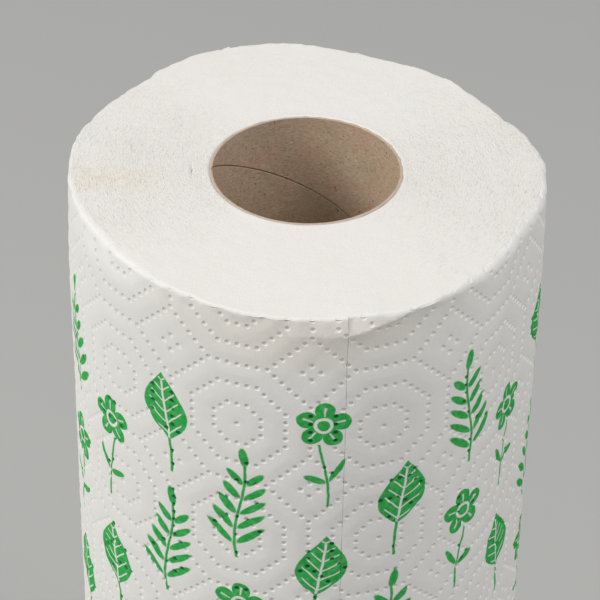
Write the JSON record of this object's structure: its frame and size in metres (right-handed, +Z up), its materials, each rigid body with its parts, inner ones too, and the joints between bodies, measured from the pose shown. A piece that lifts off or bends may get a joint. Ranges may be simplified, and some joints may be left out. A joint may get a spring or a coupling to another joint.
{
  "type": "paper towel roll",
  "caption": "Slightly squashed roll of embossed kitchen paper with a printed plant pattern, wound on a cardboard tube.",
  "frame": {"origin": "on the axis of the tube, at the bottom end of the roll", "axes": "+Z up along the tube; -Y is the side that faces the viewer"},
  "size_m": [0.1032, 0.1045, 0.2794],
  "materials": {
    "towel_paper": "soft creped white paper, embossed with rows of dots and printed in green",
    "tube_card": "plain grey-brown recycled board, spiral wound"
  },
  "bodies": {
    "root": {"core_tube": "tube_card", "paper_roll": "towel_paper"}
  },
  "joints": []
}
